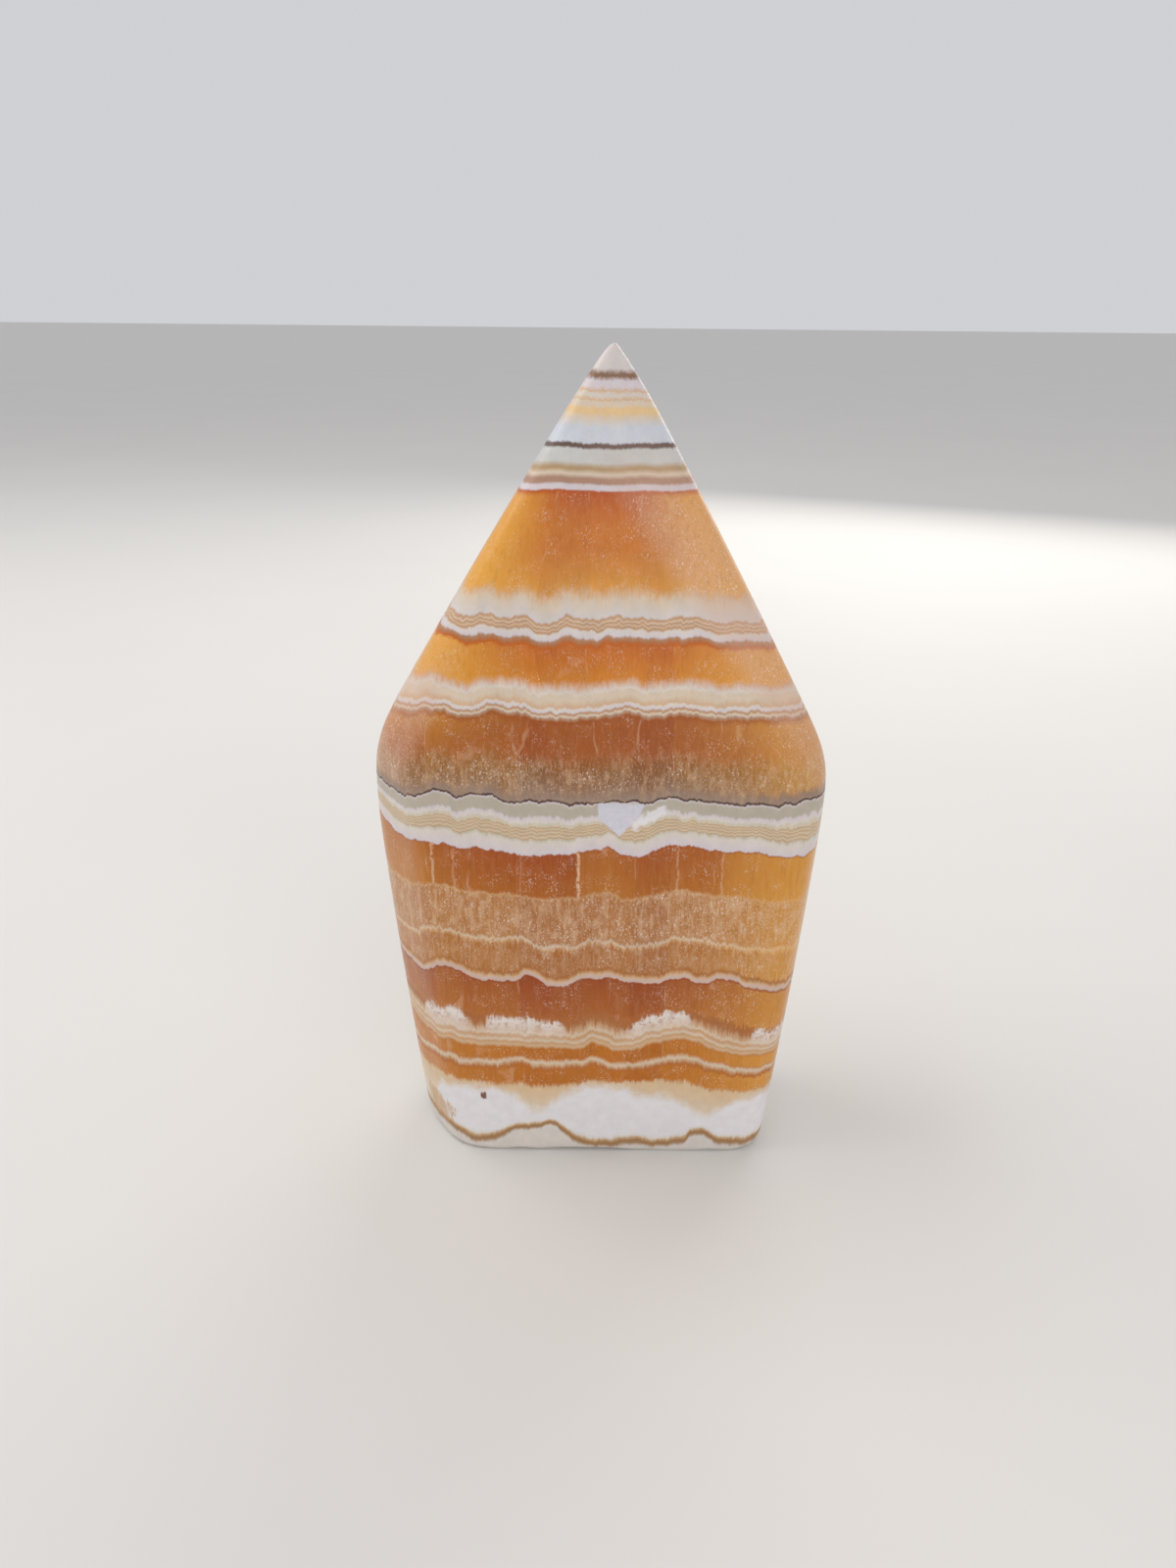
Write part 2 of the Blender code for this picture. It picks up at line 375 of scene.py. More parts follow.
# The studio: where the lights stand in metres, how wide they are, their share of the key power
# and their colours
LIGHTS = (
    ("window", (-0.55, 0.10, 0.75), 0.7, 1.0, (1.0, 0.98, 0.95)),
    ("front_fill", (0.35, -0.90, 0.55), 0.9, 0.8, (1.0, 0.97, 0.93)),
    ("rim", (0.25, 0.60, 0.35), 0.5, 0.5, (1.0, 0.97, 0.92)),
)
LIGHTS_AIM = (0.0, 0.0, 0.07)
ROOM_COLOUR = (0.95, 0.96, 1.0, 1.0)
ROOM_LIGHT = 0.66
FLOOR_ROUGHNESS = 0.75
NEAREST_SEEN = 0.01


def linear(code):
    """Scene-linear colour of a six-digit web code."""
    parts = [int(code[i:i + 2], 16) / 255.0 for i in (0, 2, 4)]
    return tuple(p / 12.92 if p <= 0.04045 else ((p + 0.055) / 1.055) ** 2.4 for p in parts)


class StoneSettings(bpy.types.PropertyGroup):
    """What a user would change on the stone."""

    deep_orange: bpy.props.FloatVectorProperty(
        name="Deep orange", description="Top of the highest orange band",
        default=linear("bc520c"), size=3, min=0.0, max=1.0, subtype="COLOR")
    golden_orange: bpy.props.FloatVectorProperty(
        name="Golden orange", description="Foot of the highest orange band",
        default=linear("dc963a"), size=3, min=0.0, max=1.0, subtype="COLOR")
    bright_orange: bpy.props.FloatVectorProperty(
        name="Bright orange", description="Top of the second orange band",
        default=linear("c66204"), size=3, min=0.0, max=1.0, subtype="COLOR")
    bright_orange_low: bpy.props.FloatVectorProperty(
        name="Bright orange, low", description="Foot of the second orange band",
        default=linear("d48010"), size=3, min=0.0, max=1.0, subtype="COLOR")
    waviness: bpy.props.FloatProperty(
        name="Polish waviness", description="Height of the slow waves left by hand polishing",
        default=0.00015, min=0.0, max=0.001, subtype="DISTANCE", unit="LENGTH", precision=5)
    chip_depth: bpy.props.FloatProperty(
        name="Chip depth", description="Depth of the pale cleavage chip on the front",
        default=0.00030, min=0.0, max=0.001, subtype="DISTANCE", unit="LENGTH", precision=5)
    smoothing: bpy.props.IntProperty(
        name="Smoothing levels", description="Subdivision levels of the polished surface",
        default=2, min=1, max=2)


class StageSettings(bpy.types.PropertyGroup):
    """What a user would change on the floor and its light."""

    floor_colour: bpy.props.FloatVectorProperty(
        name="Floor colour", description="Colour of the plain pale floor",
        default=(0.72, 0.70, 0.67), size=3, min=0.0, max=1.0, subtype="COLOR")
    floor_width: bpy.props.FloatProperty(
        name="Floor width", description="Width of the floor",
        default=16.0, min=1.0, max=40.0, subtype="DISTANCE", unit="LENGTH")
    key_power: bpy.props.FloatProperty(
        name="Key light", description="Power of the large window light",
        default=3.2, min=0.0, max=100.0, subtype="POWER", unit="POWER")


class Sheet:
    """Short ways to place and wire nodes in one node tree."""

    def __init__(self, tree):
        self.tree = tree

    def put(self, kind, **settings):
        node = self.tree.nodes.new(kind)
        for name, value in settings.items():
            setattr(node, name, value)
        return node

    def feed(self, socket, value):
        if isinstance(value, bpy.types.NodeSocket):
            self.tree.links.new(value, socket)
        else:
            socket.default_value = value

    def math(self, operation, first, second=0.0, third=0.0, clamp=False):
        node = self.put("ShaderNodeMath", operation=operation, use_clamp=clamp)
        for socket, value in zip(node.inputs, (first, second, third)):
            self.feed(socket, value)
        return node.outputs[0]

    def vector(self, operation, first, second=(0.0, 0.0, 0.0), scale=None):
        node = self.put("ShaderNodeVectorMath", operation=operation)
        self.feed(node.inputs[0], first)
        self.feed(node.inputs[1], second)
        if scale is not None:
            self.feed(node.inputs["Scale"], scale)
        return node.outputs["Value" if operation == "DOT_PRODUCT" else "Vector"]

    def rise(self, value, low, high):
        """Smooth step from 0 at low to 1 at high."""
        node = self.put("ShaderNodeMapRange", interpolation_type="SMOOTHSTEP")
        self.feed(node.inputs["Value"], value)
        node.inputs["From Min"].default_value = low
        node.inputs["From Max"].default_value = high
        return node.outputs["Result"]

    def blend(self, mask, below, above, mode="MIX"):
        """Colour mix of two colours by a mask."""
        node = self.put("ShaderNodeMix", data_type="RGBA", blend_type=mode, clamp_factor=True)
        self.feed(node.inputs[0], mask)
        self.feed(node.inputs[6], below)
        self.feed(node.inputs[7], above)
        return node.outputs[2]

    def between(self, share, low, high):
        """Number mix of two numbers."""
        node = self.put("ShaderNodeMix", data_type="FLOAT", clamp_factor=True)
        self.feed(node.inputs[0], share)
        self.feed(node.inputs[2], low)
        self.feed(node.inputs[3], high)
        return node.outputs[0]

    def noise(self, place, scale, detail=2.0, roughness=0.5):
        node = self.put("ShaderNodeTexNoise", noise_dimensions="3D")
        self.feed(node.inputs["Vector"], place)
        node.inputs["Scale"].default_value = scale
        node.inputs["Detail"].default_value = detail
        node.inputs["Roughness"].default_value = roughness
        return node.outputs[0]

    def cells(self, place, scale, feature, output):
        node = self.put("ShaderNodeTexVoronoi", feature=feature)
        self.feed(node.inputs["Vector"], place)
        node.inputs["Scale"].default_value = scale
        return node.outputs[output]

    def stretch(self, place, factors):
        """The place with each of its axes scaled."""
        return self.vector("MULTIPLY", place, factors)


def set_curve(node, spots):
    """Give a float curve node its points, as (place, value) pairs from 0 to 1."""
    curve = node.mapping.curves[0]
    curve.points[0].location = spots[0]
    curve.points[1].location = spots[-1]
    for spot in spots[1:-1]:
        curve.points.new(*spot)
    node.mapping.update()


def across_curve(sheet, across, points, low, high):
    """A number that follows the place across the stone: points are (place, value)."""
    node = sheet.put("ShaderNodeFloatCurve")
    set_curve(node, [(place / ACROSS_MM + 0.5, (value - low) / (high - low)) for place, value in points])
    sheet.feed(node.inputs["Value"], across)
    return sheet.math("MULTIPLY_ADD", node.outputs[0], high - low, low)


def up_curve(sheet, height, points, most):
    """A number that follows the height: points are (height, value) from the tip down."""
    node = sheet.put("ShaderNodeFloatCurve")
    low, high = points[-1][0], points[0][0]
    set_curve(node, [((level - low) / (high - low), value / most) for level, value in reversed(points)])
    share = sheet.math("DIVIDE", sheet.math("SUBTRACT", height, low), high - low, clamp=True)
    sheet.feed(node.inputs["Value"], share)
    return sheet.math("MULTIPLY", node.outputs[0], most)


def window(sheet, value, foot, top, soft):
    """Mask of the values from foot to top."""
    up = sheet.rise(value, foot - soft, foot + soft)
    down = sheet.rise(value, top - soft, top + soft)
    return sheet.math("SUBTRACT", up, down, clamp=True)


def either(sheet, masks):
    """The largest of several masks."""
    total = masks[0]
    for mask in masks[1:]:
        total = sheet.math("MAXIMUM", total, mask)
    return total


def both(sheet, *masks):
    """The product of several masks."""
    total = masks[0]
    for mask in masks[1:]:
        total = sheet.math("MULTIPLY", total, mask)
    return total


def half_plane(sheet, place, start, end):
    """Distance in mm to the right of a line drawn on the front from start to end."""
    run = Vector((end[0] - start[0], 0.0, end[1] - start[1])).normalized()
    side = Vector((run.z, 0.0, -run.x))
    offset = side.dot(Vector((start[0], 0.0, start[1])))
    return sheet.math("SUBTRACT", sheet.vector("DOT_PRODUCT", place, tuple(side)), offset)


def front_spot(sheet, stone, spot):
    """Mask of a soft, ragged spot on the front."""
    middle_x, middle_z, half_width, half_height = spot
    right = sheet.math("DIVIDE", sheet.math("SUBTRACT", stone["x"], middle_x), half_width)
    up = sheet.math("DIVIDE", sheet.math("SUBTRACT", stone["z"], middle_z), half_height)
    squared = sheet.math("MULTIPLY_ADD", right, right, sheet.math("MULTIPLY", up, up))
    wobbly = sheet.math("MULTIPLY_ADD", stone["frayed"], 4.0, squared)
    return both(sheet, sheet.rise(wobbly, 1.3, 0.5), stone["front face"])


def centred(sheet, place, scale, detail=2.0, roughness=0.5):
    """Noise around 0."""
    return sheet.math("SUBTRACT", sheet.noise(place, scale, detail, roughness), 0.5)


def wander(sheet, stone):
    """How far, in mm, the bands' heights wander here from what they are up the middle."""
    total = None
    reached = None
    for level, points in WAVES:
        profile = across_curve(sheet, stone["across"], points, -WANDER_MM / 2.0, WANDER_MM / 2.0)
        if total is None:
            total = profile
        else:
            total = sheet.between(sheet.rise(stone["z"], reached, level), total, profile)
        reached = level
    place = stone["place"]
    slow = centred(sheet, sheet.stretch(place, (1.0, 1.3, 0.35)), 0.085)
    quick = centred(sheet, sheet.stretch(place, (1.0, 1.0, 0.15)), 0.42, 2.0)
    jagged = centred(sheet, sheet.stretch(place, (1.0, 1.0, 0.3)), 1.5, 3.0, 0.6)
    calm = sheet.between(sheet.rise(stone["z"], *CALM_HEIGHTS), 1.0, CALM_SHARE)
    total = sheet.math("MULTIPLY", total, sheet.between(stone["front"], *WANDER_SHARES))
    total = sheet.math("MULTIPLY_ADD", slow, sheet.between(stone["front"], *SWELLS), total)
    small = sheet.math("MULTIPLY", quick, sheet.between(stone["front"], *RIPPLES))
    small = sheet.math("MULTIPLY_ADD", jagged, JAGS, small)
    return sheet.math("MULTIPLY_ADD", small, calm, total)


def stone_fields(sheet):
    """The fields that the whole material works from, in mm."""
    coordinates = sheet.put("ShaderNodeTexCoord")
    place = sheet.vector("SCALE", coordinates.outputs["Object"], scale=PER_MM)
    split = sheet.put("ShaderNodeSeparateXYZ")
    sheet.feed(split.inputs[0], place)
    stone = {"place": place, "x": split.outputs["X"], "y": split.outputs["Y"], "z": split.outputs["Z"]}
    stone["across"] = sheet.math("MULTIPLY_ADD", stone["x"], 1.0 / ACROSS_MM, 0.5, clamp=True)
    stone["front"] = sheet.math("SUBTRACT", 1.0, sheet.rise(stone["y"], *FRONT_TO_SIDE))
    stone["front face"] = sheet.rise(stone["y"], *SIDE_TO_SPOTS)
    stone["fibre"] = sheet.noise(sheet.stretch(place, (1.0, 1.0, 0.10)), 1.9, 3.0, 0.6)
    stone["fine"] = sheet.noise(sheet.stretch(place, (1.0, 1.0, 0.18)), 4.2, 2.0, 0.6)
    stone["frayed"] = sheet.math("SUBTRACT", sheet.math("MULTIPLY_ADD", stone["fine"], 0.6,
                                                        stone["fibre"]), 0.8)
    stone["level"] = sheet.math("SUBTRACT", stone["z"], wander(sheet, stone))
    fray = sheet.math("MULTIPLY", up_curve(sheet, stone["level"], FRAYING, FRAYING_MOST), 1.4)
    stone["growth"] = sheet.math("MULTIPLY_ADD", stone["frayed"], fray, stone["level"])
    stone["orange"] = either(sheet, [
        window(sheet, stone["growth"], foot, top, soft) for foot, top, soft in ORANGE_BANDS])
    stone["frosted"] = either(sheet, [
        both(sheet, window(sheet, stone["level"], foot, top, soft), strength)
        for foot, top, soft, strength in FROSTED_BANDS])
    stone["thin"] = thin_edge(sheet, stone)
    return stone


def thin_edge(sheet, stone):
    """How close, 0 to 1, a place is to the stone's thin left and right edges."""
    (foot, foot_half), (shoulder, shoulder_half), (tip, tip_half) = HALF_WIDTHS
    lower_slope = (shoulder_half - foot_half) / (shoulder - foot)
    upper_slope = (tip_half - shoulder_half) / (tip - shoulder)
    lower = sheet.math("MULTIPLY_ADD", stone["z"], lower_slope, foot_half)
    upper = sheet.math("MULTIPLY_ADD", stone["z"], upper_slope, tip_half - tip * upper_slope)
    half = sheet.math("MAXIMUM", sheet.math("MINIMUM", lower, upper), 1.0)
    return sheet.math("DIVIDE", sheet.math("ABSOLUTE", stone["x"]), half, clamp=True)


def band_stops(shades):
    """Every colour stop of the bands from the foot up: (height, colour)."""
    stops = []
    feet = [band[0] for band in BANDS[1:]] + [LOWEST_HEIGHT]
    softs = [band[3] for band in BANDS[1:]] + [0.0]
    for (top, upper, lower, soft), foot, foot_soft in zip(BANDS, feet, softs):
        stops.append((top - soft / 2.0, shades[upper]))
        stops.append((foot + foot_soft / 2.0, shades[lower]))
    return list(reversed(stops))


def band_colour(sheet, height, shades):
    """Colour of the bands at a growth height, through as many colour ramps as the stops need."""
    stops = band_stops(shades)
    colour = None
    for first in range(0, len(stops) - 1, RAMP_STOPS - 1):
        part = stops[first:first + RAMP_STOPS]
        low, high = part[0][0], part[-1][0]
        node = sheet.put("ShaderNodeValToRGB")
        ramp = node.color_ramp
        share = sheet.math("DIVIDE", sheet.math("SUBTRACT", height, low), high - low, clamp=True)
        sheet.feed(node.inputs[0], share)
        while len(ramp.elements) < len(part):
            ramp.elements.new(0.5)
        for element, (level, tint) in zip(ramp.elements, part):
            element.position = (level - low) / (high - low)
            element.color = (*tint, 1.0)
        above = sheet.math("GREATER_THAN", height, low)
        colour = node.outputs[0] if colour is None else sheet.blend(above, colour, node.outputs[0])
    return colour


def shade(code):
    """Linear colour with alpha of a web code."""
    return (*linear(code), 1.0)


def with_columns(sheet, stone, colour):
    """Orange grown in upright columns, each with its own tone and a few healed cracks between."""
    flat = sheet.stretch(stone["place"], (1.0, 1.0, 0.012))
    bend = sheet.put("ShaderNodeTexNoise")
    bend.inputs["Scale"].default_value = 0.35
    sheet.feed(bend.inputs["Vector"], stone["place"])
    bent = sheet.vector("ADD", flat, sheet.vector("SCALE", bend.outputs[1], scale=COLUMN_LEAN))
    split = sheet.put("ShaderNodeSeparateColor")
    sheet.feed(split.inputs[0], sheet.cells(bent, COLUMNS_PER_MM, "F1", "Color"))
    golden = shade(GOLDEN_EDGE)
    tone = both(sheet, split.outputs[0], COLUMN_GOLD)
    ridge_band = window(sheet, stone["level"], COLUMN_FOOT, COLUMN_TOP, 0.2)
    ridge_band = both(sheet, ridge_band, stone["front"])
    ridge_tone = across_curve(sheet, stone["across"], COLUMN_TONES, 0.0, 1.0)
    tone = sheet.between(ridge_band, tone, sheet.math("MULTIPLY", ridge_tone, RIDGE_GOLD))
    colour = sheet.blend(both(sheet, tone, stone["orange"]), colour, golden)
    dark = both(sheet, sheet.rise(split.outputs[1], 0.55, 0.95), stone["orange"])
    colour = sheet.blend(both(sheet, dark, COLUMN_DARK), colour, shade(DARK_THREAD))

    # Fine cracks follow the columns here and there, and the plain ones stand where the table says
    rim = sheet.cells(bent, COLUMNS_PER_MM, "DISTANCE_TO_EDGE", "Distance")
    broken = sheet.noise(sheet.stretch(stone["place"], (0.6, 0.6, 0.6)), 0.3, 2.0)
    broken = sheet.rise(broken, 0.48, 0.66)
    masks = [both(sheet, sheet.rise(rim, 0.022, 0.006), broken, stone["orange"], FINE_CRACKS)]
    wiggle = sheet.math("MULTIPLY", centred(sheet, stone["place"], 0.5, 3.0), 0.9)
    moved = sheet.math("ADD", stone["x"], wiggle)
    dotted = sheet.rise(sheet.noise(stone["place"], 1.6, 2.0), 0.30, 0.52)
    for spot, half, strength in CRACKS:
        gap = sheet.math("ABSOLUTE", sheet.math("SUBTRACT", moved, spot))
        line = sheet.rise(gap, half * 2.2, half * 0.6)
        masks.append(both(sheet, line, ridge_band, dotted, strength))
    return sheet.blend(either(sheet, masks), colour, shade(PALE_CRACK))


def with_threads(sheet, stone, colour):
    """Pale and dark growth fibres down the orange, thicker where it is frosted through."""
    frost = stone["frosted"]
    broad = sheet.math("MULTIPLY_ADD", frost, *BROAD_FIBRES)
    broad = both(sheet, sheet.rise(stone["fibre"], 0.50, 0.70), broad)
    thin = sheet.math("MULTIPLY_ADD", frost, *FINE_FIBRES)
    thin = both(sheet, sheet.rise(stone["fine"], 0.50, 0.74), thin)
    light = both(sheet, sheet.math("MAXIMUM", broad, thin), stone["orange"])
    colour = sheet.blend(light, colour, shade(PALE_THREAD))
    dark = both(sheet, sheet.rise(stone["fibre"], 0.47, 0.30), stone["orange"], DARK_FIBRES)
    colour = sheet.blend(dark, colour, shade(DARK_THREAD))
    wisp = sheet.noise(sheet.stretch(stone["place"], (1.0, 1.0, 0.45)), 0.75, 5.0, 0.66)
    wisp = both(sheet, sheet.rise(wisp, 0.44, 0.66), frost, WISPS)
    return sheet.blend(wisp, colour, shade(PALE_THREAD))


def with_sparkles(sheet, stone, colour):
    """Painted glints: tiny crystal faces that catch the light, here and there in chains."""
    place = sheet.stretch(stone["place"], (1.0, 1.0, 0.6))
    tiny = sheet.rise(sheet.cells(place, SPARKLES_PER_MM, "F1", "Distance"), 0.24, 0.10)
    field = sheet.rise(sheet.noise(stone["place"], 0.32, 3.0), 0.42, 0.68)
    pick = sheet.put("ShaderNodeSeparateColor")
    sheet.feed(pick.inputs[0], sheet.cells(place, SPARKLES_PER_MM, "F1", "Color"))
    chosen = sheet.rise(pick.outputs[0], 0.45, 0.75)
    amount = sheet.math("MULTIPLY", field, SPARKLE_CLEAR)
    amount = sheet.math("MULTIPLY_ADD", stone["frosted"], SPARKLE_FROSTED, amount)
    hazy = sheet.math("MULTIPLY", stone["haze"], SPARKLE_HAZE)
    amount = sheet.math("ADD", amount, hazy, clamp=True)
    pale = sheet.between(stone["orange"], 0.15, 1.0)
    grain = sheet.rise(sheet.noise(place, GRAINS_PER_MM, 2.0, 0.7), 0.54, 0.70)
    grain = both(sheet, grain, 0.80)
    bright = sheet.math("MAXIMUM", both(sheet, tiny, chosen, 0.75), grain)
    return sheet.blend(both(sheet, bright, amount, pale), colour, shade(SPARKLE))


def haze_mask(sheet, stone):
    """Mask of the ground faces outside the creases, which stay frosty and carry a painted sheen."""
    left = sheet.math("MULTIPLY", half_plane(sheet, stone["place"], *LEFT_CREASE), -1.0)
    right = half_plane(sheet, stone["place"], *RIGHT_CREASE)
    left = both(sheet, sheet.rise(left, -1.2, 2.2), sheet.rise(stone["z"], *LEFT_HAZE_END))
    right = both(sheet, sheet.rise(right, -1.6, 2.6), sheet.rise(stone["z"], *RIGHT_HAZE_END))
    upper = both(sheet, sheet.math("MAXIMUM", left, right), sheet.rise(stone["z"], *HAZE_START))
    return both(sheet, upper, stone["front"])


def with_thin_edges(sheet, stone, colour):
    """Painted light: a golden glow through the thin edges, and a pale sheen on the frosty ground faces
    outside the creases.
    """
    # Painted glow of light through the thin edges: strongest high up, and low down mostly on the right
    edge = both(sheet, sheet.rise(stone["thin"], 0.35, 1.0), stone["orange"])
    lower = sheet.between(sheet.rise(stone["x"], 5.0, 25.0), 0.12, 0.60)
    upper = sheet.between(sheet.rise(stone["x"], -10.0, 20.0), 0.88, 0.75)
    amount = sheet.between(sheet.rise(stone["z"], 80.0, 93.0), lower, upper)
    colour = sheet.blend(both(sheet, edge, amount), colour, shade(GOLDEN_EDGE))
    # Pale painted sheen, mottled, on the frosty ground faces outside the creases
    mottled = sheet.between(sheet.noise(stone["place"], 0.9, 4.0, 0.65), 0.10, 0.62)
    return sheet.blend(both(sheet, stone["haze"], mottled), colour, shade(HAZE_SHEEN))


def with_frost_patches(sheet, stone, colour):
    """White frost in patches along the foot of the brick band."""
    strength = across_curve(sheet, stone["across"], FROST_PATCHES, 0.0, 1.0)
    strength = sheet.between(stone["front"], FROST_ON_SIDES, strength)
    edge = sheet.math("MULTIPLY_ADD", stone["frayed"], 2.2, stone["level"])
    edge = sheet.math("MULTIPLY_ADD", centred(sheet, stone["place"], 0.55, 5.0, 0.7), 4.5, edge)
    top = sheet.math("MULTIPLY", sheet.math("SUBTRACT", 1.0, strength), 3.2)
    under = sheet.rise(sheet.math("ADD", edge, top), FROST_TOP + 0.4, FROST_TOP - 0.5)
    above = sheet.rise(stone["level"], FROST_FOOT - 1.6, FROST_TOP - 0.8)
    crumble = sheet.rise(sheet.noise(stone["place"], 1.1, 6.0, 0.72), 0.34, 0.54)
    patch = both(sheet, under, above, sheet.rise(strength, 0.0, 0.9), sheet.between(crumble, 0.35, 1.0))
    return sheet.blend(patch, colour, shade(FROST))


def with_lumps(sheet, stone, colour):
    """White lumps at the foot, each like a bowl that rests in the brown line."""
    tops = across_curve(sheet, stone["across"], LUMP_TOPS, 0.0, LUMP_RANGE)
    tops = sheet.between(stone["front"], LUMP_TOP_ON_SIDES, tops)
    tops = sheet.math("MULTIPLY_ADD", centred(sheet, stone["place"], 0.40, 6.0, 0.72), 6.0, tops)
    under = sheet.rise(sheet.math("SUBTRACT", tops, stone["z"]), -1.5, 1.6)
    above_line = sheet.rise(stone["growth"], LUMP_FOOT, LUMP_FOOT + 1.0)
    lump = both(sheet, under, above_line)
    mottled = sheet.between(sheet.noise(stone["place"], 0.5, 4.0, 0.6), 0.86, 1.06)
    white = sheet.vector("SCALE", linear(LUMP_SHADE), scale=mottled)
    colour = sheet.blend(lump, colour, white)
    stain = both(sheet, front_spot(sheet, stone, LEFT_STAIN), STAIN_STRENGTH)
    colour = sheet.blend(stain, colour, shade(STAIN_SHADE))
    return sheet.blend(front_spot(sheet, stone, BROWN_SPECK), colour, shade(SPECK_SHADE))


def chip_mask(sheet, place, frontness):
    """Mask of the pale cleavage chip: a flat-topped drop that ends in a point."""
    inside = None
    for start, end in zip(CHIP_CORNERS, CHIP_CORNERS[1:] + CHIP_CORNERS[:1]):
        gap = half_plane(sheet, place, start, end)
        inside = gap if inside is None else sheet.math("SMOOTH_MIN", inside, gap, CHIP_ROUNDING)
    ragged = centred(sheet, place, 1.1, 4.0, 0.65)
    inside = sheet.math("MULTIPLY_ADD", ragged, 1.0, inside)
    return both(sheet, sheet.rise(inside, 0.0, 0.30), frontness)


def vein_mask(sheet, stone):
    """Mask of the ragged pale vein that runs on from the chip."""
    across = half_plane(sheet, stone["place"], VEIN_START, VEIN_END)
    across = sheet.math("MULTIPLY_ADD", centred(sheet, stone["place"], 0.9, 3.0), 2.4, across)
    line = sheet.rise(sheet.math("ABSOLUTE", across), 1.1, 0.4)
    reach = window(sheet, stone["x"], VEIN_START[0], VEIN_END[0], 0.4)
    near = window(sheet, stone["z"], *VEIN_HEIGHTS, 0.3)
    return both(sheet, line, reach, near, stone["front"], VEIN_STRENGTH)


def polish(sheet, stone, chip, shader):
    """Roughness and the finest relief of the polish."""
    rough = sheet.between(stone["orange"], ROUGH_PALE, ROUGH_ORANGE)
    rough = sheet.math("MULTIPLY_ADD", stone["haze"], ROUGH_HAZE, rough)
    rough = sheet.math("MULTIPLY_ADD", chip, ROUGH_CHIP, rough)
    worn = centred(sheet, stone["place"], 0.35, 4.0)
    rough = sheet.math("MULTIPLY_ADD", worn, ROUGH_WANDER, rough)
    sheet.feed(shader.inputs["Roughness"], rough)
    grain = sheet.math("MULTIPLY_ADD", stone["fine"], 0.5, sheet.noise(stone["place"], 2.6, 3.0))
    grain = sheet.math("MULTIPLY_ADD", sheet.noise(stone["place"], 1.2, 5.0, 0.7), chip, grain)
    bump = sheet.put("ShaderNodeBump")
    bump.inputs["Strength"].default_value = GRAIN_STRENGTH
    bump.inputs["Distance"].default_value = GRAIN_DEPTH
    sheet.feed(bump.inputs["Height"], grain)
    sheet.feed(shader.inputs["Normal"], bump.outputs["Normal"])


def stone_shades(settings):
    """Every named shade of the stone as a linear colour."""
    shades = {name: linear(code) for name, code in SHADES.items()}
    shades["deep orange"] = tuple(settings.deep_orange)
    shades["golden orange"] = tuple(settings.golden_orange)
    shades["bright orange"] = tuple(settings.bright_orange)
    shades["bright orange low"] = tuple(settings.bright_orange_low)
    return shades


def banded_calcite(settings):
    """The stone's material: bands through the solid, columns, fibres, frost, lumps, chip, polish."""
    material = bpy.data.materials.new("banded_calcite")
    material.use_nodes = True
    tree = material.node_tree
    tree.nodes.clear()
    sheet = Sheet(tree)
    stone = stone_fields(sheet)
    stone["haze"] = haze_mask(sheet, stone)
    colour = band_colour(sheet, stone["growth"], stone_shades(settings))
    cloud = sheet.between(sheet.noise(stone["place"], 0.45, 5.0, 0.62), 0.84, 1.13)
    colour = sheet.vector("SCALE", colour, scale=cloud)
    for add in (with_columns, with_thin_edges, with_threads, with_frost_patches, with_lumps, with_sparkles):
        colour = add(sheet, stone, colour)
    colour = sheet.blend(vein_mask(sheet, stone), colour, shade(LUMP_SHADE))
    chip = chip_mask(sheet, stone["place"], stone["front"])
    chip_tone = sheet.between(sheet.noise(stone["place"], 1.5, 4.0, 0.6), 0.80, 1.10)
    colour = sheet.blend(chip, colour, sheet.vector("SCALE", linear(CHIP_SHADE), scale=chip_tone))

    shader = sheet.put("ShaderNodeBsdfPrincipled")
    sheet.feed(shader.inputs["Base Color"], colour)
    polish(sheet, stone, chip, shader)
    for name, value in FINISH.items():
        shader.inputs[name].default_value = value
    output = sheet.put("ShaderNodeOutputMaterial")
    tree.links.new(shader.outputs[0], output.inputs["Surface"])
    return material


